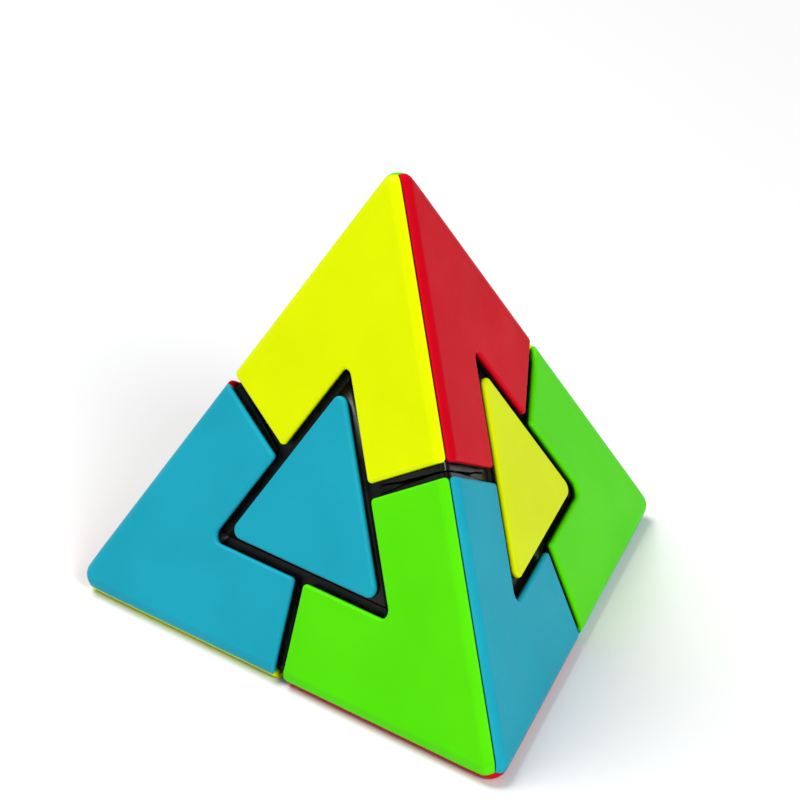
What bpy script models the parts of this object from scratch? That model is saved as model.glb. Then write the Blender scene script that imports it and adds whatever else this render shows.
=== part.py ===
"""Corner-turning pyramid puzzle: a tetrahedron of four corners and four face centres.

Frame: metres, +Z up. The origin is the middle of the base face, which rests on z = 0.
One corner points up, one points to -Y, and the other two lie at -X and +X.
Every axis of rotation passes through HUB, the middle of the solid, and each one runs to a corner.
Each piece is modelled once about the hub and then copied by rotations of the tetrahedron.
"""
import math

import bmesh
import bpy
from mathutils import Matrix, Vector

MM = 0.001

# The whole solid
EDGE = 102 * MM                   # edge of the sharp tetrahedron
EDGE_RADIUS = 2.5 * MM            # rounding of its edges
TIP_CUT = 5.5 * MM                # how far below its sharp corner each tip is flat
INRADIUS = EDGE / (2 * math.sqrt(6))
HEIGHT = 4 * INRADIUS
FACE_INRADIUS = EDGE / (2 * math.sqrt(3))
HUB = Vector((0, 0, INRADIUS))

# How a face is divided: the centre triangle's sides run at this share of the face's height
CENTRE_SHARE = 0.2105
CENTRE_SIDE = (1 - 3 * CENTRE_SHARE) * FACE_INRADIUS
CAP_THICK = 1.2 * MM
CAP_GAP = 0.3 * MM                # under a cap, and between two caps that meet at an edge
CORNER_CAP_INSET = 1.2 * MM       # from a cap to the line that parts two corners
CENTRE_CAP_INSET = 1.05 * MM      # from a cap to the side of the centre triangle
CENTRE_CORNER_SETBACK = 2.6 * MM
NOTCH_SETBACK = 2.4 * MM
CAP_CORNER_SETBACK = 0.7 * MM
BODY_INSET = CAP_THICK + CAP_GAP  # from a face to the black body under its caps
SLIDER_INSET = 1.8 * MM           # the edge sliders stop this far under a face
SLIDER_EDGE_RADIUS = 1.2 * MM
PLATE_REACH = 4 * MM              # how far a cap's outline is drawn through the face, each way

# The turning seams
SEAM = 0.4 * MM                   # running gap between two layers
SEAM_STEPS = 36
SEAM_PHASE = math.radians(2.3)    # turns the seams' facets off the planes of symmetry
WAIST_DEPTH = 0.4 * MM            # how far under the face the seam is set out, beside the centre
RIM_DEPTH = 1.5 * MM              # and at the middle of an edge
PROFILE_STEPS = 3
NECK_ANGLE = math.radians(80)
NECK_INNER = 13.6 * MM
NECK_OUTER = 16.0 * MM

# The core and what it carries along each axis, by distance from the hub
CORE_RADIUS = 10.5 * MM
ARM_RADIUS = 3.1 * MM
ARM_END = 15.4 * MM
THREAD_HOLE = 1.6 * MM
THREAD_HOLE_START = 7.0 * MM
SHANK_RADIUS = 1.3 * MM
SHANK_START = 7.6 * MM
CORNER_START = 15.8 * MM
SHANK_BORE = 1.7 * MM
WELL_FLOOR = 22.0 * MM
WELL_RADIUS = 3.7 * MM
WELL_TOP = 43.0 * MM
SPRING_START = 22.8 * MM
SPRING_END = 29.4 * MM
SPRING_RADIUS = 2.45 * MM
WIRE_RADIUS = 0.35 * MM
SPRING_TURNS = 4
WASHER_START = 30.1 * MM
WASHER_END = 30.7 * MM
WASHER_RADIUS = 3.3 * MM
HEAD_START = 31.0 * MM
HEAD_END = 33.2 * MM
HEAD_RADIUS = 3.0 * MM
SLOT_WIDTH = 0.9 * MM
SLOT_LENGTH = 4.0 * MM
SLOT_DEPTH = 1.2 * MM
PLUG_START = 37.5 * MM            # the plug over a screw fills the tip under the caps
PLUG_CLEARANCE = 0.3 * MM

# Pegs that hold the caps
PEG_RADIUS = 1.3 * MM
PEG_LENGTH = 3.0 * MM
PEG_CLEARANCE = 0.3 * MM
CORNER_PEG_OUT = 28 * MM          # from the middle of the face towards the corner

FAR = 75 * MM

AXES = {
    "top": Vector((0, 0, 1)),
    "left": Vector((-math.sqrt(6) / 3, math.sqrt(2) / 3, -1 / 3)),
    "front": Vector((0, -2 * math.sqrt(2) / 3, -1 / 3)),
    "right": Vector((math.sqrt(6) / 3, math.sqrt(2) / 3, -1 / 3)),
}
# A face is named by where it lies, and this is the corner opposite to it
FACES = {"left": "right", "right": "left", "back": "front", "bottom": "top"}

CAP_COLOURS = {
    "corner_top": {"left": "yellow", "right": "red", "back": "green"},
    "corner_left": {"left": "blue", "back": "red", "bottom": "yellow"},
    "corner_front": {"left": "green", "right": "blue", "bottom": "red"},
    "corner_right": {"right": "green", "back": "yellow", "bottom": "blue"},
    "centre": {"left": "blue", "right": "yellow", "back": "green", "bottom": "red"},
}
SLIDERS = [("top", "left"), ("top", "front"), ("top", "right"),
           ("front", "left"), ("left", "right"), ("right", "front")]

FINISHES = {  # colour, metallic, roughness
    "yellow": ((0.76, 0.93, 0.0), 0.0, 0.3),
    "blue": ((0.02, 0.4, 0.52), 0.0, 0.3),
    "green": ((0.11, 0.83, 0.01), 0.0, 0.3),
    "red": ((0.58, 0.01, 0.02), 0.0, 0.3),
    "black": ((0.006, 0.006, 0.006), 0.0, 0.42),
    "core_grey": ((0.55, 0.56, 0.57), 0.0, 0.5),
    "steel": ((0.6, 0.6, 0.62), 1.0, 0.3),
}


def clear_scene():
    for obj in list(bpy.data.objects):
        bpy.data.objects.remove(obj, do_unlink=True)


def new_collection(name):
    collection = bpy.data.collections.new(name)
    bpy.context.scene.collection.children.link(collection)
    return collection


clear_scene()
puzzle = new_collection("pyramid_puzzle")
cutters = new_collection("cutters")


def new_material(name, finish):
    colour, metallic, roughness = FINISHES[finish]
    material = bpy.data.materials.new(name)
    material.use_nodes = True
    shader = material.node_tree.nodes["Principled BSDF"]
    shader.inputs["Base Color"].default_value = (*colour, 1)
    shader.inputs["Metallic"].default_value = metallic
    shader.inputs["Roughness"].default_value = roughness
    material.diffuse_color = (*colour, 1)
    return material


def guide(name, mesh):
    """A shape that is cut with, or copied from, and isn't a piece itself."""
    obj = bpy.data.objects.new(name, mesh)
    obj.hide_render = True
    obj.display_type = "WIRE"
    cutters.objects.link(obj)
    return obj


def mesh_from(bm, name):
    mesh = bpy.data.meshes.new(name)
    bm.to_mesh(mesh)
    bm.free()
    return mesh


def tetrahedron(name, inset, edge_radius=None):
    """A tetrahedron about the hub, its faces moved in by inset and its edges rounded."""
    inradius = INRADIUS - inset
    half_dihedral = math.acos(1 / 3) / 2
    setback = (edge_radius or EDGE_RADIUS - inset) / math.tan(half_dihedral)
    bm = bmesh.new()
    bmesh.ops.create_cone(bm, cap_ends=True, segments=3, radius1=2 * math.sqrt(2) * inradius,
                          radius2=0, depth=4 * inradius)
    bmesh.ops.remove_doubles(bm, verts=bm.verts, dist=0.01 * MM)
    bmesh.ops.rotate(bm, verts=bm.verts, matrix=Matrix.Rotation(math.pi, 3, "Z"))
    bmesh.ops.translate(bm, verts=bm.verts, vec=(0, 0, inradius))
    bmesh.ops.bevel(bm, geom=bm.edges[:], offset=setback, offset_type="OFFSET", segments=3,
                    profile=0.5, affect="EDGES")
    tip = 3 * INRADIUS - TIP_CUT - inset
    for axis in AXES.values():
        bmesh.ops.bisect_plane(bm, geom=bm.verts[:] + bm.edges[:] + bm.faces[:],
                               plane_co=axis * tip, plane_no=axis, clear_outer=True)
        bmesh.ops.holes_fill(bm, edges=[edge for edge in bm.edges if edge.is_boundary])
    bmesh.ops.recalc_face_normals(bm, faces=bm.faces)
    return guide(name, mesh_from(bm, name))


def turned(name, profile, steps=24):
    """A solid of revolution about the top axis: profile is (radius, height) from top to bottom."""
    bm = bmesh.new()
    verts = [bm.verts.new((radius, 0, height)) for radius, height in profile]
    for first, second in zip(verts, verts[1:]):
        bm.edges.new((first, second))
    obj = guide(name, mesh_from(bm, name))
    screw = obj.modifiers.new("Turn", "SCREW")
    screw.axis = "Z"
    screw.angle = 2 * math.pi
    screw.steps = steps
    screw.render_steps = steps
    screw.use_merge_vertices = True
    screw.merge_threshold = 0.01 * MM
    return obj


def cylinder(name, radius, start, end, steps=16):
    return turned(name, [(0, end), (radius, end), (radius, start), (0, start)], steps)


def offset_profile(profile, distance):
    """The profile moved outwards by distance, its ends staying on the axis."""
    points = [Vector(point) for point in profile]
    normals = []
    for first, second in zip(points, points[1:]):
        along = (second - first).normalized()
        normals.append(Vector((-along.y, along.x)))
    moved = [points[0] + normals[0] * distance]
    for point, before, after in zip(points[1:], normals, normals[1:]):
        moved.append(point + (before + after) * distance / (1 + before.dot(after)))
    moved.append(points[-1] + normals[-1] * distance)
    return [(point.x, point.y) for point in moved]


def seam_point(share, half_width, depth):
    """Radius and height of a point straight under the face, at share of the way up the face."""
    to_face = (1 - share) * FACE_INRADIUS - depth * math.cos(math.asin(1 / 3))
    return (math.hypot(to_face, half_width), (share - 0.25) * HEIGHT - depth / 3)


def layer_profile():
    """The outline, about its axis, of all that turns with one corner."""
    waist_share = (1 - CENTRE_SHARE) / 2
    steps = range(PROFILE_STEPS + 1)
    upper = []
    for step in steps:
        mix = step / PROFILE_STEPS
        share = 0.5 + (waist_share - 0.5) * mix
        depth = RIM_DEPTH + (WAIST_DEPTH - RIM_DEPTH) * mix
        upper.append(seam_point(share, (3 * share - 1) / 2 * EDGE, depth))
    lower = []
    for step in steps:
        share = waist_share + (CENTRE_SHARE - waist_share) * step / PROFILE_STEPS
        lower.append(seam_point(share, ((1 - share) / 2 - CENTRE_SHARE) * EDGE, WAIST_DEPTH))
    base = lower[-1][1]
    neck = [
        (math.sqrt(NECK_OUTER ** 2 - base ** 2), base),
        (NECK_OUTER, 0),
        (NECK_OUTER * math.sin(NECK_ANGLE), NECK_OUTER * math.cos(NECK_ANGLE)),
        (NECK_INNER * math.sin(NECK_ANGLE), NECK_INNER * math.cos(NECK_ANGLE)),
        (NECK_INNER, 0),
        (0, 0),
    ]
    return [(0, FAR), (FAR, FAR), (FAR, upper[0][1])] + upper + lower[1:] + neck


def axes_frame(first, second):
    side = (second - second.dot(first) * first).normalized()
    return Matrix((first, side, first.cross(side))).transposed()


def rotation(first, second, base_first="top", base_second="right"):
    """The rotation of the tetrahedron that takes two of its axes to two others."""
    base = axes_frame(AXES[base_first], AXES[base_second])
    return (axes_frame(AXES[first], AXES[second]) @ base.transposed()).to_4x4()


def boolean(obj, cutter, operation):
    modifier = obj.modifiers.new(f"{operation.title()} {cutter.name}", "BOOLEAN")
    modifier.operation = operation
    modifier.solver = "EXACT"
    modifier.object = cutter


def baked(obj):
    """The object's mesh with its modifiers applied, merged and shaded."""
    bpy.context.view_layer.update()
    graph = bpy.context.evaluated_depsgraph_get()
    mesh = bpy.data.meshes.new_from_object(obj.evaluated_get(graph))
    if obj.type == "CURVE":
        bm = bmesh.new()
        bm.from_mesh(mesh)
        bmesh.ops.remove_doubles(bm, verts=bm.verts, dist=0.001 * MM)
        bm.to_mesh(mesh)
        bm.free()
    mesh.shade_smooth()
    mesh.set_sharp_from_angle(angle=math.radians(30))
    return mesh


def place(name, mesh, finish, turn):
    """One piece, with its origin on the hub, which every axis passes through."""
    obj = bpy.data.objects.new(name, mesh.copy())
    obj.data.name = name
    obj.data.materials.clear()
    obj.data.materials.append(new_material(name, finish))
    obj.matrix_world = Matrix.Translation(HUB) @ turn
    puzzle.objects.link(obj)
    return obj


# Face plane of the left face, which lies opposite the right corner: x across, y to the top corner
OUTWARD = -AXES["right"]
UPWARD = (AXES["top"] - AXES["top"].dot(OUTWARD) * OUTWARD).normalized()
FACE_PLANE = Matrix((UPWARD.cross(OUTWARD), UPWARD, OUTWARD)).transposed().to_4x4()
FACE_PLANE.translation = OUTWARD * INRADIUS


def meet(first, second):
    """Where two lines of the face plane cross, each given as (normal angle, distance)."""
    (a, p), (b, q) = ((math.radians(angle), distance) for angle, distance in (first, second))
    scale = math.sin(b - a)
    return Vector(((p * math.sin(b) - q * math.sin(a)) / scale,
                   (q * math.cos(a) - p * math.cos(b)) / scale))


def plate(name, outline, setbacks):
    """An upright prism through the left face, with the corners of its outline rounded."""
    curve = bpy.data.curves.new(name, "CURVE")
    curve.dimensions = "2D"
    curve.fill_mode = "BOTH"
    curve.extrude = PLATE_REACH
    spline = curve.splines.new("POLY")
    spline.points.add(len(outline) - 1)
    for point, corner in zip(spline.points, outline):
        point.co = (*corner, 0, 1)
    spline.use_cyclic_u = True
    flat = guide(name + "_outline", curve)
    bpy.context.view_layer.update()
    graph = bpy.context.evaluated_depsgraph_get()
    mesh = bpy.data.meshes.new_from_object(flat.evaluated_get(graph))
    bm = bmesh.new()
    bm.from_mesh(mesh)
    bmesh.ops.remove_doubles(bm, verts=bm.verts, dist=0.01 * MM)
    bmesh.ops.dissolve_limit(bm, angle_limit=math.radians(1), verts=bm.verts, edges=bm.edges)
    for corner, setback in zip(outline, setbacks):
        if not setback:
            continue
        upright = [edge for edge in bm.edges
                   if all((vert.co.xy - corner).length < 0.01 * MM for vert in edge.verts)]
        bmesh.ops.bevel(bm, geom=upright, offset=setback, segments=2, profile=0.5,
                        affect="EDGES")
    bmesh.ops.transform(bm, verts=bm.verts, matrix=FACE_PLANE)
    bmesh.ops.recalc_face_normals(bm, faces=bm.faces)
    bm.to_mesh(mesh)
    bm.free()
    return guide(name, mesh)


def peg(name, out, clearance):
    """A round peg under the left face, out from the middle of the face towards the top corner."""
    obj = cylinder(name, PEG_RADIUS + clearance, -CAP_THICK - PEG_LENGTH - clearance,
                   -CAP_THICK / 2, 12)
    obj.matrix_world = FACE_PLANE @ Matrix.Translation((0, out, 0))
    return obj


# Cutters shared by the pieces
outer_form = tetrahedron("outer_form", 0)
cap_seat = tetrahedron("cap_seat", CAP_THICK)
grown = offset_profile(layer_profile(), SEAM / 2)
shrunk = offset_profile(layer_profile(), -SEAM / 2)
layers_in, layers_out = {}, {}
for axis in AXES:
    other = "right" if axis == "top" else "top"
    turn = rotation(axis, other)
    layers_in[axis] = turned(f"layer_in_{axis}", shrunk, SEAM_STEPS)
    layers_out[axis] = turned(f"layer_out_{axis}", grown, SEAM_STEPS)
    layers_in[axis].matrix_world = turn @ Matrix.Rotation(SEAM_PHASE, 4, "Z")
    layers_out[axis].matrix_world = turn @ Matrix.Rotation(SEAM_PHASE, 4, "Z")


def core_clearance():
    bm = bmesh.new()
    bmesh.ops.create_uvsphere(bm, u_segments=24, v_segments=12, radius=CORE_RADIUS + CAP_GAP)
    return guide("core_clearance", mesh_from(bm, "core_clearance"))


clearance_ball = core_clearance()


def face_wedge():
    """The pyramid from the hub to the left face, moved out so that neighbouring caps part."""
    reach = 1.4
    bm = bmesh.new()
    bmesh.ops.create_cone(bm, cap_ends=True, segments=3, radius1=0, depth=reach * INRADIUS,
                          radius2=reach * 2 * FACE_INRADIUS)
    bmesh.ops.remove_doubles(bm, verts=bm.verts, dist=0.01 * MM)
    lift = CAP_GAP / 2 / math.sin(math.acos(1 / 3) / 2)
    bmesh.ops.translate(bm, verts=bm.verts, vec=(0, 0, reach * INRADIUS / 2 + lift - INRADIUS))
    bmesh.ops.transform(bm, verts=bm.verts, matrix=FACE_PLANE)
    bmesh.ops.recalc_face_normals(bm, faces=bm.faces)
    return guide("face_wedge", mesh_from(bm, "face_wedge"))


wedge = face_wedge()


def corner_cap():
    notch = CENTRE_SIDE + CENTRE_CAP_INSET
    left, right = 150, 30      # normals of the face's two upper sides
    part_left, part_right = 60, 120
    side = FACE_INRADIUS + PLATE_REACH
    outline = [
        meet((left, side), (right, side)),
        meet((left, side), (part_left, CORNER_CAP_INSET)),
        meet((part_left, CORNER_CAP_INSET), (left, notch)),
        meet((left, notch), (right, notch)),
        meet((right, notch), (part_right, CORNER_CAP_INSET)),
        meet((part_right, CORNER_CAP_INSET), (right, side)),
    ]
    setbacks = [0, 0, CAP_CORNER_SETBACK, NOTCH_SETBACK, CAP_CORNER_SETBACK, 0]
    obj = plate("corner_cap", outline, setbacks)
    boolean(obj, outer_form, "INTERSECT")
    boolean(obj, cap_seat, "DIFFERENCE")
    boolean(obj, wedge, "INTERSECT")
    boolean(obj, layers_in["top"], "INTERSECT")
    boolean(obj, layers_out["left"], "DIFFERENCE")
    boolean(obj, layers_out["front"], "DIFFERENCE")
    boolean(obj, peg("corner_peg", CORNER_PEG_OUT, 0), "UNION")
    return baked(obj)


def centre_cap():
    side = CENTRE_SIDE - CENTRE_CAP_INSET
    sides = [(150, side), (270, side), (30, side)]
    outline = [meet(sides[0], sides[1]), meet(sides[1], sides[2]), meet(sides[2], sides[0])]
    obj = plate("centre_cap", outline, [CENTRE_CORNER_SETBACK] * 3)
    boolean(obj, outer_form, "INTERSECT")
    boolean(obj, cap_seat, "DIFFERENCE")
    for axis in ("top", "left", "front"):
        boolean(obj, layers_in[axis], "INTERSECT")
    boolean(obj, peg("centre_peg", 0, 0), "UNION")
    return baked(obj)


def corner_bore():
    """What is open along a corner's axis: screw bore, spring well, and the space above it."""
    clear = 0.1 * MM
    wide = 18 * MM
    return turned("corner_bore", [
        (0, FAR), (wide, FAR), (wide, WELL_TOP), (WELL_RADIUS, WELL_TOP),
        (WELL_RADIUS, WELL_FLOOR), (SHANK_BORE, WELL_FLOOR), (SHANK_BORE, CORNER_START),
        (wide, CORNER_START - clear), (wide, 0), (0, 0),
    ])


def corner_body():
    obj = tetrahedron("corner_body", BODY_INSET)
    boolean(obj, layers_in["top"], "INTERSECT")
    for axis in ("left", "front", "right"):
        boolean(obj, layers_out[axis], "DIFFERENCE")
    boolean(obj, corner_bore(), "DIFFERENCE")
    for number, face in enumerate(("left", "right", "back")):
        socket = peg(f"corner_socket_{number}", CORNER_PEG_OUT, PEG_CLEARANCE)
        socket.matrix_world = rotation("top", FACES[face]) @ socket.matrix_world
        boolean(obj, socket, "DIFFERENCE")
    return baked(obj)


def tip_plug():
    """Closes the well over the screw and backs the three caps where they meet at the tip."""
    radius = WELL_RADIUS - PLUG_CLEARANCE
    obj = tetrahedron("tip_plug", BODY_INSET)
    below = turned("plug_below", [
        (0, PLUG_START), (radius, PLUG_START), (radius, WELL_TOP + PLUG_CLEARANCE),
        (FAR, WELL_TOP + PLUG_CLEARANCE), (FAR, -FAR), (0, -FAR),
    ])
    boolean(obj, below, "DIFFERENCE")
    return baked(obj)


def centre_body():
    obj = tetrahedron("centre_body", BODY_INSET)
    for axis in ("top", "left", "front"):
        boolean(obj, layers_in[axis], "INTERSECT")
    boolean(obj, layers_out["right"], "DIFFERENCE")
    boolean(obj, clearance_ball, "DIFFERENCE")
    boolean(obj, peg("centre_socket", 0, PEG_CLEARANCE), "DIFFERENCE")
    return baked(obj)


def edge_slider():
    obj = tetrahedron("edge_slider", SLIDER_INSET, SLIDER_EDGE_RADIUS)
    for axis in ("top", "left"):
        boolean(obj, layers_in[axis], "INTERSECT")
    for axis in ("front", "right"):
        boolean(obj, layers_out[axis], "DIFFERENCE")
    boolean(obj, clearance_ball, "DIFFERENCE")
    return baked(obj)


def core_frame():
    bm = bmesh.new()
    bmesh.ops.create_uvsphere(bm, u_segments=24, v_segments=12, radius=CORE_RADIUS)
    obj = guide("core_form", mesh_from(bm, "core_form"))
    for axis in AXES:
        turn = rotation(axis, "right" if axis == "top" else "top")
        arm = cylinder(f"arm_{axis}", ARM_RADIUS, CORE_RADIUS / 2, ARM_END, 20)
        arm.matrix_world = turn
        boolean(obj, arm, "UNION")
    for axis in AXES:
        turn = rotation(axis, "right" if axis == "top" else "top")
        hole = cylinder(f"thread_hole_{axis}", THREAD_HOLE, THREAD_HOLE_START, ARM_END + MM, 16)
        hole.matrix_world = turn
        boolean(obj, hole, "DIFFERENCE")
    return baked(obj)


def tension_screw():
    fillet = 0.4 * MM
    obj = turned("screw_form", [
        (0, HEAD_END), (HEAD_RADIUS - fillet, HEAD_END), (HEAD_RADIUS, HEAD_END - fillet),
        (HEAD_RADIUS, HEAD_START), (SHANK_RADIUS, HEAD_START), (SHANK_RADIUS, SHANK_START + MM),
        (0, SHANK_START),
    ], 16)
    for name, size in (("slot_x", (SLOT_LENGTH, SLOT_WIDTH)), ("slot_y", (SLOT_WIDTH, SLOT_LENGTH))):
        bm = bmesh.new()
        bmesh.ops.create_cube(bm, size=1)
        bmesh.ops.scale(bm, verts=bm.verts, vec=(*size, 2 * SLOT_DEPTH))
        bmesh.ops.translate(bm, verts=bm.verts, vec=(0, 0, HEAD_END))
        boolean(obj, guide(name, mesh_from(bm, name)), "DIFFERENCE")
    return baked(obj)


def tension_spring():
    points_per_turn = 8
    count = SPRING_TURNS * points_per_turn + 1
    curve = bpy.data.curves.new("spring_form", "CURVE")
    curve.dimensions = "3D"
    curve.bevel_depth = WIRE_RADIUS
    curve.bevel_resolution = 1
    curve.use_fill_caps = True
    spline = curve.splines.new("POLY")
    spline.points.add(count - 1)
    for number, point in enumerate(spline.points):
        angle = 2 * math.pi * number / points_per_turn
        height = SPRING_START + (SPRING_END - SPRING_START) * number / (count - 1)
        point.co = (SPRING_RADIUS * math.cos(angle), SPRING_RADIUS * math.sin(angle), height, 1)
    return baked(guide("spring_form", curve))


def tension_washer():
    inner = THREAD_HOLE
    obj = turned("washer_form", [
        (inner, WASHER_END), (WASHER_RADIUS, WASHER_END), (WASHER_RADIUS, WASHER_START),
        (inner, WASHER_START), (inner, WASHER_END),
    ], 16)
    return baked(obj)


place("core_frame", core_frame(), "core_grey", Matrix())
corner_mesh, cap_mesh = corner_body(), corner_cap()
screw_mesh, spring_mesh, washer_mesh = tension_screw(), tension_spring(), tension_washer()
plug_mesh = tip_plug()
for axis in AXES:
    turn = rotation(axis, "right" if axis == "top" else "top")
    place(f"tension_screw_{axis}", screw_mesh, "steel", turn)
    place(f"tension_spring_{axis}", spring_mesh, "steel", turn)
    place(f"tension_washer_{axis}", washer_mesh, "steel", turn)
    place(f"corner_{axis}_body", corner_mesh, "black", turn)
    place(f"corner_{axis}_plug", plug_mesh, "black", turn)
    for face, colour in CAP_COLOURS[f"corner_{axis}"].items():
        place(f"corner_{axis}_cap_{face}", cap_mesh, colour, rotation(axis, FACES[face]))

centre_mesh, centre_cap_mesh = centre_body(), centre_cap()
for face, colour in CAP_COLOURS["centre"].items():
    neighbour = next(axis for axis in AXES if axis != FACES[face])
    turn = rotation(neighbour, FACES[face])
    place(f"centre_{face}_body", centre_mesh, "black", turn)
    place(f"centre_{face}_cap", centre_cap_mesh, colour, turn)

slider_mesh = edge_slider()
for first, second in SLIDERS:
    place(f"edge_slider_{first}_{second}", slider_mesh, "black",
          rotation(first, second, "top", "left"))
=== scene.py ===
import math
import bmesh
import bpy
from mathutils import Matrix, Vector


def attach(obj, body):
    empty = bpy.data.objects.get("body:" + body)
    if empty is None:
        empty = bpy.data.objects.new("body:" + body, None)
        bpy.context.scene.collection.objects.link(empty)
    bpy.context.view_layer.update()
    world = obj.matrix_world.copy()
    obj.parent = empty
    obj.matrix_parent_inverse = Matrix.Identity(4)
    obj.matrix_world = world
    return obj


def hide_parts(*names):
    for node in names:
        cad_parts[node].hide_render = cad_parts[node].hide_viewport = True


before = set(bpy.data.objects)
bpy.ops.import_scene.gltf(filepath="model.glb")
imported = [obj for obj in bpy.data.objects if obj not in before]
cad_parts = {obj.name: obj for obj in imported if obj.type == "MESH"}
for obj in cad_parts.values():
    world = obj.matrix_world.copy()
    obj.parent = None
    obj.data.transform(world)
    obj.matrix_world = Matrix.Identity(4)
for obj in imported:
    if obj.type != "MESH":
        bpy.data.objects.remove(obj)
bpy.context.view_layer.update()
print("frame loaded:", len(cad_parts), "nodes")

mm = 0.001

# The solid that every piece is part of
solid = {
    "edge": 102 * mm,          # sharp corner to sharp corner
    "edgeRadius": 2.5 * mm,
    "tipCut": 5.5 * mm,        # from the sharp corner down to the blunt tip
    "tipBlend": 2.2 * mm,      # how far down the tip's ball the blunting reaches
    "centreShare": 0.2105,     # from an edge to the centre triangle's side, as a share of a face's height
}
inradius = solid["edge"] / (2 * math.sqrt(6))
faceInradius = solid["edge"] / (2 * math.sqrt(3))
centreSide = (1 - 3 * solid["centreShare"]) * faceInradius
hub = Vector((0, 0, inradius))
halfDihedral = math.acos(1 / 3) / 2
# From a face's middle to where it bends over its rounded edge
bendStart = faceInradius - solid["edgeRadius"] / math.tan(halfDihedral)

# Directions on a face with one corner up, in degrees: square to its sides, and to the lines that part
# the upper corner's caps from the lower corners' caps
leftSide, rightSide, baseSide = 150, 30, 270
leftPart, rightPart = 60, 120

axisOf = {
    "top": Vector((0, 0, 1)),
    "left": Vector((-math.sqrt(6) / 3, math.sqrt(2) / 3, -1 / 3)),
    "front": Vector((0, -2 * math.sqrt(2) / 3, -1 / 3)),
    "right": Vector((math.sqrt(6) / 3, math.sqrt(2) / 3, -1 / 3)),
}
oppositeCorner = {"left": "right", "right": "left", "back": "front", "bottom": "top"}

capColours = {
    "top": {"left": "yellow", "right": "red", "back": "green"},
    "left": {"left": "blue", "back": "red", "bottom": "yellow"},
    "front": {"left": "green", "right": "blue", "bottom": "red"},
    "right": {"right": "green", "back": "yellow", "bottom": "blue"},
}
centreColours = {"left": "blue", "right": "yellow", "back": "green", "bottom": "red"}


def fromHex(text):  # sRGB hex to linear
    values = [int(text[i:i + 2], 16) / 255 for i in (1, 3, 5)]
    return tuple(v / 12.92 if v <= 0.04045 else ((v + 0.055) / 1.055) ** 2.4 for v in values) + (1,)


def addNode(tree, kind, settings=None, inputs=None):
    node = tree.nodes.new(kind)
    for key, value in (settings or {}).items():
        setattr(node, key, value)
    for key, value in (inputs or {}).items():
        if isinstance(value, bpy.types.NodeSocket):
            tree.links.new(value, node.inputs[key])
        else:
            node.inputs[key].default_value = value
    return node


def newMaterial(name):
    material = bpy.data.materials.new(name)
    material.use_nodes = True
    tree = material.node_tree
    tree.nodes.clear()
    shader = addNode(tree, "ShaderNodeBsdfPrincipled")
    addNode(tree, "ShaderNodeOutputMaterial", {}, {"Surface": shader.outputs["BSDF"]})
    place = addNode(tree, "ShaderNodeTexCoord").outputs["Object"]
    return material, tree, shader, place


# Injection-moulded ABS caps: a satin skin with faint flow mottle, the polished mould's fine orange
# peel, and hair scratches from handling that only show where a light catches them.
capPlastic = {
    "yellow": {"skin": "#E6F600", "deep": "#E0F000", "roughness": 0.36},
    "red": {"skin": "#D6061E", "deep": "#CC041B", "roughness": 0.38},
    "green": {"skin": "#5BE60A", "deep": "#55E006", "roughness": 0.36},
    "blue": {"skin": "#1FA8C0", "deep": "#1CA2BA", "roughness": 0.36},
}
capSkin = {
    "ior": 1.54,
    "specularLevel": 0.03,    # far under real ABS, so that the white floor's reflection leaves the colours deep
    "mottleSize": 18 * mm,
    "glossSize": 6 * mm, "duller": 0.06, "glossier": 0.05,
    # real scratches are a tenth of this width and wouldn't show at this size
    "scratchWidth": 0.35 * mm, "scratchLength": 10 * mm,
    "scratchDulling": 0.14, "scratchDepth": 0.5,
    "scratchWays": ((0.5, 3.1), (2.1, 17.7)),    # turn in radians, and where in the noise
    "peelSize": 0.7 * mm, "peelHeight": 0.05 * mm, "peelStrength": 0.12,
}


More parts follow.
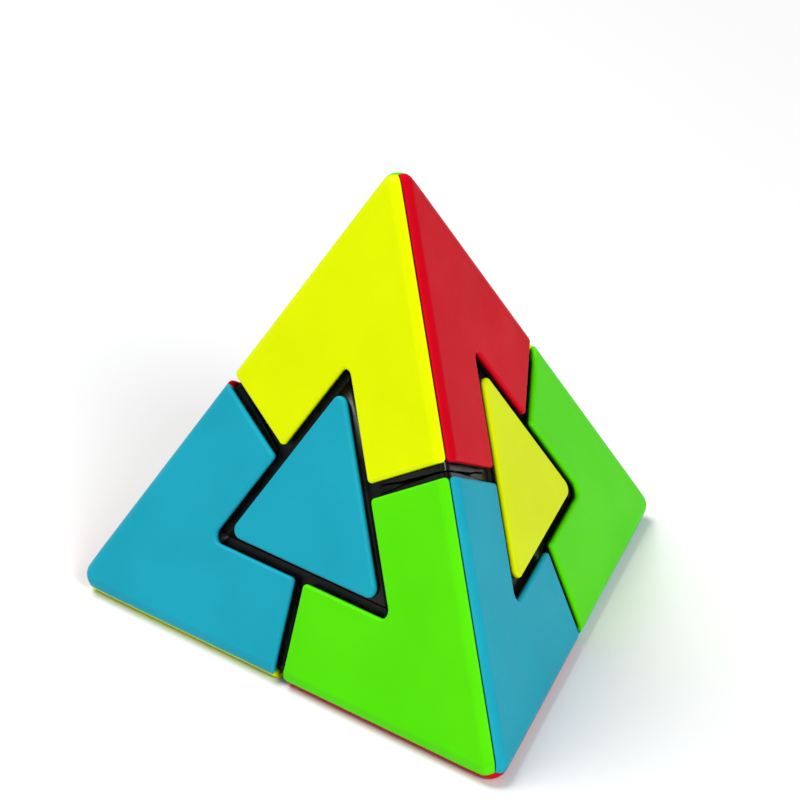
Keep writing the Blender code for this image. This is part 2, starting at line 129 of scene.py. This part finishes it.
def mouldedAbs(name, skin, deep, roughness):
    s = capSkin
    material, tree, shader, place = newMaterial(name)
    shader.inputs["IOR"].default_value = s["ior"]
    shader.inputs["Specular IOR Level"].default_value = s["specularLevel"]
    mottle = addNode(tree, "ShaderNodeTexNoise", {}, {
        "Vector": place, "Scale": 1 / s["mottleSize"], "Detail": 3.0, "Roughness": 0.5}).outputs["Fac"]
    patches = addNode(tree, "ShaderNodeMapRange", {}, {
        "Value": mottle, "From Min": 0.35, "From Max": 0.65}).outputs["Result"]
    colour = addNode(tree, "ShaderNodeMix", {"data_type": "RGBA"}, {
        0: patches, 6: fromHex(deep), 7: fromHex(skin)}).outputs[2]
    tree.links.new(colour, shader.inputs["Base Color"])
    # hair scratches in two directions, from noise drawn out along each
    marks = []
    for angle, seed in s["scratchWays"]:
        drawnOut = addNode(tree, "ShaderNodeMapping", {}, {
            "Vector": place, "Location": (seed, seed, seed), "Rotation": (angle, 0.4 * angle, angle),
            "Scale": (1 / s["scratchLength"], 1 / s["scratchWidth"], 1 / s["scratchWidth"])}).outputs["Vector"]
        streak = addNode(tree, "ShaderNodeTexNoise", {}, {
            "Vector": drawnOut, "Scale": 1.0, "Detail": 1.0, "Roughness": 0.4}).outputs["Fac"]
        marks.append(addNode(tree, "ShaderNodeMapRange", {}, {
            "Value": streak, "From Min": 0.70, "From Max": 0.78}).outputs["Result"])
    scratches = addNode(tree, "ShaderNodeMath", {"operation": "MAXIMUM"}, {
        0: marks[0], 1: marks[1]}).outputs["Value"]
    # the gloss wanders a little over the skin, and the scratches are duller
    rub = addNode(tree, "ShaderNodeTexNoise", {}, {
        "Vector": place, "Scale": 1 / s["glossSize"], "Detail": 4.0, "Roughness": 0.6}).outputs["Fac"]
    gloss = addNode(tree, "ShaderNodeMapRange", {}, {
        "Value": rub, "From Min": 0.3, "From Max": 0.7,
        "To Min": roughness - s["glossier"], "To Max": roughness + s["duller"]}).outputs["Result"]
    dulled = addNode(tree, "ShaderNodeMath", {"operation": "MULTIPLY_ADD"}, {
        0: scratches, 1: s["scratchDulling"], 2: gloss}).outputs["Value"]
    tree.links.new(dulled, shader.inputs["Roughness"])
    # orange peel a few microns high, cut into by the scratches
    peel = addNode(tree, "ShaderNodeTexNoise", {}, {
        "Vector": place, "Scale": 1 / s["peelSize"], "Detail": 2.0, "Roughness": 0.5}).outputs["Fac"]
    relief = addNode(tree, "ShaderNodeMath", {"operation": "MULTIPLY_ADD"}, {
        0: scratches, 1: -s["scratchDepth"], 2: peel}).outputs["Value"]
    bump = addNode(tree, "ShaderNodeBump", {}, {
        "Height": relief, "Strength": s["peelStrength"], "Distance": s["peelHeight"]}).outputs["Normal"]
    tree.links.new(bump, shader.inputs["Normal"])
    return material


# Black ABS of the bodies: the same moulding, glossier than the caps, and greyer in worn patches where
# the layers rub on each other.
blackPlastic = {
    "skin": "#0B0B0A", "worn": "#191917",
    "ior": 1.54, "specularLevel": 0.22,
    "wearSize": 4 * mm,
    "roughness": 0.27, "duller": 0.12, "glossier": 0.05,
    "peelSize": 0.8 * mm, "peelHeight": 0.05 * mm, "peelStrength": 0.15,
}


def rubbedBlackAbs(name):
    s = blackPlastic
    material, tree, shader, place = newMaterial(name)
    shader.inputs["IOR"].default_value = s["ior"]
    shader.inputs["Specular IOR Level"].default_value = s["specularLevel"]
    wear = addNode(tree, "ShaderNodeTexNoise", {}, {
        "Vector": place, "Scale": 1 / s["wearSize"], "Detail": 5.0, "Roughness": 0.6}).outputs["Fac"]
    worn = addNode(tree, "ShaderNodeMapRange", {}, {
        "Value": wear, "From Min": 0.45, "From Max": 0.75}).outputs["Result"]
    colour = addNode(tree, "ShaderNodeMix", {"data_type": "RGBA"}, {
        0: worn, 6: fromHex(s["skin"]), 7: fromHex(s["worn"])}).outputs[2]
    tree.links.new(colour, shader.inputs["Base Color"])
    gloss = addNode(tree, "ShaderNodeMapRange", {}, {
        "Value": wear, "From Min": 0.3, "From Max": 0.7,
        "To Min": s["roughness"] - s["glossier"], "To Max": s["roughness"] + s["duller"]}).outputs["Result"]
    tree.links.new(gloss, shader.inputs["Roughness"])
    peel = addNode(tree, "ShaderNodeTexNoise", {}, {
        "Vector": place, "Scale": 1 / s["peelSize"], "Detail": 2.0, "Roughness": 0.5}).outputs["Fac"]
    bump = addNode(tree, "ShaderNodeBump", {}, {
        "Height": peel, "Strength": s["peelStrength"], "Distance": s["peelHeight"]}).outputs["Normal"]
    tree.links.new(bump, shader.inputs["Normal"])
    return material


# Acetal core: dull and slightly waxy, with a fine spark-eroded grain.
acetal = {
    "dark": "#B4B6B7", "light": "#C6C8C8",
    "ior": 1.48,
    "smoothest": 0.42, "roughest": 0.6,
    "grainSize": 0.3 * mm, "grainHeight": 0.03 * mm, "grainStrength": 0.3,
}


def erodedAcetal(name):
    s = acetal
    material, tree, shader, place = newMaterial(name)
    shader.inputs["IOR"].default_value = s["ior"]
    grain = addNode(tree, "ShaderNodeTexNoise", {}, {
        "Vector": place, "Scale": 1 / s["grainSize"], "Detail": 3.0, "Roughness": 0.6}).outputs["Fac"]
    colour = addNode(tree, "ShaderNodeMix", {"data_type": "RGBA"}, {
        0: grain, 6: fromHex(s["dark"]), 7: fromHex(s["light"])}).outputs[2]
    tree.links.new(colour, shader.inputs["Base Color"])
    gloss = addNode(tree, "ShaderNodeMapRange", {}, {
        "Value": grain, "To Min": s["smoothest"], "To Max": s["roughest"]}).outputs["Result"]
    tree.links.new(gloss, shader.inputs["Roughness"])
    bump = addNode(tree, "ShaderNodeBump", {}, {
        "Height": grain, "Strength": s["grainStrength"], "Distance": s["grainHeight"]}).outputs["Normal"]
    tree.links.new(bump, shader.inputs["Normal"])
    return material


# Zinc-plated steel: bright and slightly blue, with a cloudy plate. The drawn spring wire looks much
# the same, only darker.
zinc = {
    "bright": "#D8DADD",
    "duller": 0.1, "glossier": 0.06,
    "cloudSize": 1.2 * mm, "cloudHeight": 0.02 * mm, "cloudStrength": 0.12,
}


def zincPlate(name, shade, roughness):
    s = zinc
    material, tree, shader, place = newMaterial(name)
    shader.inputs["Metallic"].default_value = 1.0
    cloud = addNode(tree, "ShaderNodeTexNoise", {}, {
        "Vector": place, "Scale": 1 / s["cloudSize"], "Detail": 4.0, "Roughness": 0.6}).outputs["Fac"]
    colour = addNode(tree, "ShaderNodeMix", {"data_type": "RGBA"}, {
        0: cloud, 6: fromHex(shade), 7: fromHex(s["bright"])}).outputs[2]
    tree.links.new(colour, shader.inputs["Base Color"])
    gloss = addNode(tree, "ShaderNodeMapRange", {}, {
        "Value": cloud, "From Min": 0.3, "From Max": 0.7,
        "To Min": roughness - s["glossier"], "To Max": roughness + s["duller"]}).outputs["Result"]
    tree.links.new(gloss, shader.inputs["Roughness"])
    bump = addNode(tree, "ShaderNodeBump", {}, {
        "Height": cloud, "Strength": s["cloudStrength"], "Distance": s["cloudHeight"]}).outputs["Normal"]
    tree.links.new(bump, shader.inputs["Normal"])
    return material


capMaterials = {colour: mouldedAbs(f"mouldedAbs_{colour}", **values) for colour, values in capPlastic.items()}
blackMaterial = rubbedBlackAbs("rubbedBlackAbs")
coreMaterial = erodedAcetal("erodedAcetal")
screwMaterial = zincPlate("zincPlatedScrew", "#AEB3BA", 0.28)
springMaterial = zincPlate("drawnSpringSteel", "#8E9298", 0.24)
washerMaterial = zincPlate("pressedZincWasher", "#B9BDC2", 0.34)
print("materials made")


def faceMatrix(corner, opposite):  # x across the face, y to the corner, z outwards
    outward = -axisOf[opposite]
    upward = (axisOf[corner] - axisOf[corner].dot(outward) * outward).normalized()
    matrix = Matrix((upward.cross(outward), upward, outward)).transposed().to_4x4()
    matrix.translation = hub + outward * inradius
    return matrix


def direction(angle):
    return Vector((math.cos(math.radians(angle)), math.sin(math.radians(angle)), 0))


def meet(first, second):  # where two lines cross, each given as (angle of its normal, distance)
    (a, p), (b, q) = ((math.radians(angle), distance) for angle, distance in (first, second))
    scale = math.sin(b - a)
    return Vector(((p * math.sin(b) - q * math.sin(a)) / scale, (q * math.cos(a) - p * math.cos(b)) / scale, 0))


def rounded(points, tangents, segments=10):  # an arc in place of each corner that has a tangent length
    outline = []
    for number, (point, tangent) in enumerate(zip(points, tangents)):
        before = (point - points[number - 1]).normalized()
        after = (points[(number + 1) % len(points)] - point).normalized()
        if not tangent:
            outline.append(point)
            continue
        turn = math.atan2(before.cross(after).z, before.dot(after))
        radius = tangent / math.tan(turn / 2)
        centre = point - before * tangent + Vector((-before.y, before.x, 0)) * radius
        spoke = point - before * tangent - centre
        for step in range(segments + 1):
            outline.append(centre + Matrix.Rotation(turn * step / segments, 3, "Z") @ spoke)
    return outline


def rimmedPlate(outline, rims, thickness, segments=5):  # flat on top at z = 0, with a quarter-round rim
    bm = bmesh.new()
    inwards = []
    for number, point in enumerate(outline):
        sides = []
        for first, second in ((outline[number - 1], point), (point, outline[(number + 1) % len(outline)])):
            along = (second - first).normalized()
            sides.append(Vector((-along.y, along.x, 0)))
        inwards.append((sides[0] + sides[1]) / (1 + sides[0].dot(sides[1])))
    levels = [(1 - math.sin(angle), math.cos(angle) - 1)
              for angle in (math.pi / 2 * step / segments for step in range(segments + 1))]
    rings = [[bm.verts.new(point + inward * rim * inset + Vector((0, 0, rim * drop)))
              for point, inward, rim in zip(outline, inwards, rims)] for inset, drop in levels]
    rings.append([bm.verts.new(point - Vector((0, 0, thickness))) for point in outline])
    bm.faces.new(rings[0])
    bm.faces.new(list(reversed(rings[-1])))
    for upper, lower in zip(rings, rings[1:]):
        for number in range(len(outline)):
            bm.faces.new((lower[number - 1], lower[number], upper[number], upper[number - 1]))
    return bm


peg = {"radius": 1.3 * mm, "endShare": 0.9, "length": 3.0 * mm, "sunk": 0.15 * mm, "segments": 32}


def addPeg(bm, out, seat):  # round peg on the underside of a cap, slightly sunk into it
    made = bmesh.ops.create_cone(bm, cap_ends=True, segments=peg["segments"], radius2=peg["radius"],
                                 radius1=peg["radius"] * peg["endShare"],
                                 depth=peg["length"] + 2 * peg["sunk"])["verts"]
    bmesh.ops.translate(bm, verts=made, vec=(0, out, -seat - peg["length"] / 2 + peg["sunk"]))


def finished(name, bm, material):
    mesh = bpy.data.meshes.new(name)
    bm.to_mesh(mesh)
    bm.free()
    mesh.materials.append(material)
    obj = bpy.data.objects.new(name, mesh)
    bpy.context.scene.collection.objects.link(obj)
    mesh.shade_smooth()
    obj.modifiers.new("Flats", "WEIGHTED_NORMAL")  # the large flats stay flat beside their rims
    return obj


# The hub and the upper corner's axis in a face's own coordinates
toFace = faceMatrix("top", "right").inverted()
hubOnFace = toFace @ hub
tipAxis = (toFace.to_3x3() @ axisOf["top"]).normalized()


def ontoRoundedSolid(flat):  # wraps a flat plate's point over the rounded edges and the tip
    radius = solid["edgeRadius"]
    left, right = direction(leftSide), direction(rightSide)
    spot = Vector((flat.x, flat.y, 0))
    pastLeft, pastRight = spot.dot(left) - bendStart, spot.dot(right) - bendStart
    if pastLeft <= 0 and pastRight <= 0:
        return flat.copy()
    nearest = Vector((0, 2 * bendStart, 0))
    if pastLeft > 0 and (spot - left * pastLeft).dot(right) <= bendStart:
        nearest = spot - left * pastLeft
    elif pastRight > 0 and (spot - right * pastRight).dot(left) <= bendStart:
        nearest = spot - right * pastRight
    bend = (spot - nearest).length / radius
    outwards = (spot - nearest).normalized() * math.sin(bend) + Vector((0, 0, math.cos(bend)))
    wrapped = nearest - Vector((0, 0, radius)) + outwards * (radius + flat.z)
    # the top of the tip's ball is pressed down to the blunt tip
    blendStart = 3 * inradius - 2 * radius - solid["tipBlend"]
    over = (wrapped - hubOnFace).dot(tipAxis) - blendStart
    if over > 0:
        wrapped -= tipAxis * (solid["tipCut"] - 2 * radius) * (over / solid["tipBlend"]) ** 2
    return wrapped


cornerCap = {
    "thickness": 1.2 * mm,
    "partInset": 1.2 * mm,      # to the line that parts two corners
    "notchInset": 1.05 * mm,    # to the side of the centre triangle
    "seamHalf": 0.1 * mm,       # half the thin gap between two caps along an edge
    "outerRounding": 0.7 * mm,
    "armRounding": 0.7 * mm,
    "notchRounding": 2.4 * mm,
    "rim": 0.5 * mm,
    "edgeRim": 0.14 * mm,
    "tipStep": 6,               # degrees between points of the seams over the tip
    "strips": 8,                # bends in each rounded edge
    "cutSnap": 0.004 * mm,
    "pegOut": 28 * mm,          # from the face's middle towards the corner
}


def cornerCapMesh():
    s = cornerCap
    radius = solid["edgeRadius"]
    endAngle = math.pi / 2 - halfDihedral - math.asin(s["seamHalf"] / radius)
    side = bendStart + radius * endAngle
    notch = centreSide + s["notchInset"]
    part = s["partInset"]
    tipCentre = Vector((0, 2 * bendStart, 0))
    # past the point where both edges bend, the seams are great circles of the tip's ball
    rightTip = [tipCentre + direction(rightSide + turn)
                * radius * math.atan(math.tan(endAngle) / math.cos(math.radians(turn)))
                for turn in range(0, 60 + 1, s["tipStep"])]
    leftTip = [Vector((-point.x, point.y, 0)) for point in reversed(rightTip[:-1])]
    points = rightTip + leftTip + [
        meet((leftSide, side), (leftPart, part)),
        meet((leftSide, bendStart), (leftPart, part)),
        meet((leftPart, part), (leftSide, notch)),
        meet((leftSide, notch), (rightSide, notch)),
        meet((rightSide, notch), (rightPart, part)),
        meet((rightSide, bendStart), (rightPart, part)),
        meet((rightPart, part), (rightSide, side)),
    ]
    roundings = [0] * len(rightTip + leftTip) + [
        s["outerRounding"], 0, s["armRounding"], s["notchRounding"], s["armRounding"], 0, s["outerRounding"]]
    outline = rounded(points, roundings)
    rims = []
    for point in outline:
        out = max(point.dot(direction(leftSide)), point.dot(direction(rightSide)))
        towardsSeam = (out - bendStart) / (side - bendStart - s["outerRounding"])
        if point.y > tipCentre.y:
            towardsSeam = 1
        rims.append(s["rim"] + (s["edgeRim"] - s["rim"]) * min(max(towardsSeam, 0), 1))
    bm = rimmedPlate(outline, rims, s["thickness"])
    # cut strips where the plate will bend over the edges and the tip
    for square, along in ((leftSide, leftPart), (rightSide, rightPart)):
        cuts = [(direction(square) * (bendStart + radius * endAngle * strip / s["strips"]), direction(square))
                for strip in range(s["strips"])]
        cuts.append((tipCentre, direction(along)))
        for spot, normal in cuts:
            bmesh.ops.bisect_plane(bm, geom=bm.verts[:] + bm.edges[:] + bm.faces[:], plane_co=spot,
                                   plane_no=normal, dist=s["cutSnap"])
    for vert in bm.verts:
        vert.co = ontoRoundedSolid(vert.co)
    bmesh.ops.recalc_face_normals(bm, faces=bm.faces[:])
    addPeg(bm, s["pegOut"], s["thickness"])
    return bm


centreCap = {
    "thickness": 1.2 * mm,
    "inset": 1.05 * mm,
    "cornerRounding": 2.6 * mm,
    "rim": 0.5 * mm,
}


def centreCapMesh():
    s = centreCap
    side = centreSide - s["inset"]
    points = [meet((leftSide, side), (baseSide, side)), meet((baseSide, side), (rightSide, side)),
              meet((rightSide, side), (leftSide, side))]
    outline = rounded(points, [s["cornerRounding"]] * 3)
    bm = rimmedPlate(outline, [s["rim"]] * len(outline), s["thickness"])
    addPeg(bm, 0, s["thickness"])
    return bm


for corner, caps in capColours.items():
    for face, colour in caps.items():
        bm = cornerCapMesh()
        bmesh.ops.transform(bm, verts=bm.verts[:], matrix=faceMatrix(corner, oppositeCorner[face]))
        cap = finished(f"cornerCap_{corner}_{face}", bm, capMaterials[colour])
        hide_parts(f"corner_{corner}_cap_{face}")
        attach(cap, f"corner_{corner}")
for face, colour in centreColours.items():
    neighbour = next(axis for axis in axisOf if axis != oppositeCorner[face])
    bm = centreCapMesh()
    bmesh.ops.transform(bm, verts=bm.verts[:], matrix=faceMatrix(neighbour, oppositeCorner[face]))
    cap = finished(f"centreCap_{face}", bm, capMaterials[colour])
    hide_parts(f"centre_{face}_cap")
    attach(cap, f"centre_{face}")
print("caps made")

blackBody = {
    "weld": 0.002 * mm,
    "flatWithin": 0.6,    # degrees between facets that become one face
    "sharpest": 38,       # degrees between faces, over which their edge is shaded sharp
}


def mergedCopy(node, name):  # the CAD shape with its facets merged and its curved faces shaded smooth
    bm = bmesh.new()
    bm.from_mesh(node.data)
    bmesh.ops.remove_doubles(bm, verts=bm.verts[:], dist=blackBody["weld"])
    bmesh.ops.dissolve_limit(bm, angle_limit=math.radians(blackBody["flatWithin"]), verts=bm.verts[:],
                             edges=bm.edges[:])
    bmesh.ops.recalc_face_normals(bm, faces=bm.faces[:])
    obj = finished(name, bm, blackMaterial)
    obj.data.set_sharp_from_angle(angle=math.radians(blackBody["sharpest"]))
    return obj


for corner in axisOf:
    body = mergedCopy(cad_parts[f"corner_{corner}_body"], f"cornerBody_{corner}")
    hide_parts(f"corner_{corner}_body")
    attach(body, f"corner_{corner}")
for face in oppositeCorner:
    body = mergedCopy(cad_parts[f"centre_{face}_body"], f"centreBody_{face}")
    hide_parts(f"centre_{face}_body")
    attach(body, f"centre_{face}")

for name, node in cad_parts.items():
    if name.endswith(("_body", "_plug")) or name.startswith("edge_slider"):
        material = blackMaterial
    elif name.startswith("tension_screw"):
        material = screwMaterial
    elif name.startswith("tension_spring"):
        material = springMaterial
    elif name.startswith("tension_washer"):
        material = washerMaterial
    else:
        material = coreMaterial
    node.data.materials.clear()
    node.data.materials.append(material)
print("bodies finished")

# Painted board: matt and nearly white, so it bounces light onto the lower parts of the faces.
floorSettings = {"size": 3.0, "colour": "#F2F2F3", "roughness": 0.7}
bm = bmesh.new()
bmesh.ops.create_grid(bm, x_segments=1, y_segments=1, size=floorSettings["size"] / 2)
floorMaterial, tree, shader, place = newMaterial("paintedBoard")
shader.inputs["Base Color"].default_value = fromHex(floorSettings["colour"])
shader.inputs["Roughness"].default_value = floorSettings["roughness"]
floor = finished("floor", bm, floorMaterial)

worldSettings = {"colour": "#FFFFFF", "strength": 0.2}
world = bpy.context.scene.world or bpy.data.worlds.new("world")
bpy.context.scene.world = world
world.use_nodes = True
background = world.node_tree.nodes["Background"]
background.inputs["Color"].default_value = fromHex(worldSettings["colour"])
background.inputs["Strength"].default_value = worldSettings["strength"]

lights = {
    "keyLight": {"spot": (0.18, -1.0, 0.68), "aim": (0, 0, 0.03), "size": 0.35, "power": 9.2},
    "fillLight": {"spot": (-0.95, -0.3, 0.35), "aim": (0, 0, 0.03), "size": 0.6, "power": 1.0},
    "topLight": {"spot": (-0.25, 0.45, 0.95), "aim": (0, 0, 0), "size": 0.5, "power": 9.0},
}
for name, s in lights.items():
    data = bpy.data.lights.new(name, "AREA")
    data.shape = "SQUARE"
    data.size = s["size"]
    data.energy = s["power"]
    lamp = bpy.data.objects.new(name, data)
    facing = (Vector(s["aim"]) - Vector(s["spot"])).to_track_quat("-Z", "Y").to_matrix().to_4x4()
    lamp.matrix_world = Matrix.Translation(s["spot"]) @ facing
    bpy.context.scene.collection.objects.link(lamp)

cameraSettings = {
    "azimuth": -13.52, "elevation": 25.21, "roll": -1.28,    # degrees
    "distance": 0.7935, "aimHeight": 0.03955, "aimAcross": -0.0005,
    "lens": 228.2, "sensorWidth": 36,
}
azimuth, elevation = math.radians(cameraSettings["azimuth"]), math.radians(cameraSettings["elevation"])
towards = Vector((math.sin(azimuth) * math.cos(elevation), -math.cos(azimuth) * math.cos(elevation),
                  math.sin(elevation)))
across = (-towards).cross(Vector((0, 0, 1))).normalized()
upwards = across.cross(-towards)
roll = math.radians(cameraSettings["roll"])
across, upwards = (math.cos(roll) * across + math.sin(roll) * upwards,
                   -math.sin(roll) * across + math.cos(roll) * upwards)
cameraData = bpy.data.cameras.new("camera")
cameraData.lens = cameraSettings["lens"]
cameraData.sensor_width = cameraSettings["sensorWidth"]
camera = bpy.data.objects.new("camera", cameraData)
aim = Vector((0, 0, cameraSettings["aimHeight"])) + cameraSettings["aimAcross"] * across
pose = Matrix((across, upwards, towards)).transposed().to_4x4()
pose.translation = aim + towards * cameraSettings["distance"]
camera.matrix_world = pose
bpy.context.scene.collection.objects.link(camera)
bpy.context.scene.camera = camera
bpy.context.scene.view_settings.view_transform = "Standard"  # keeps the caps' full strength of colour
print("stage set")
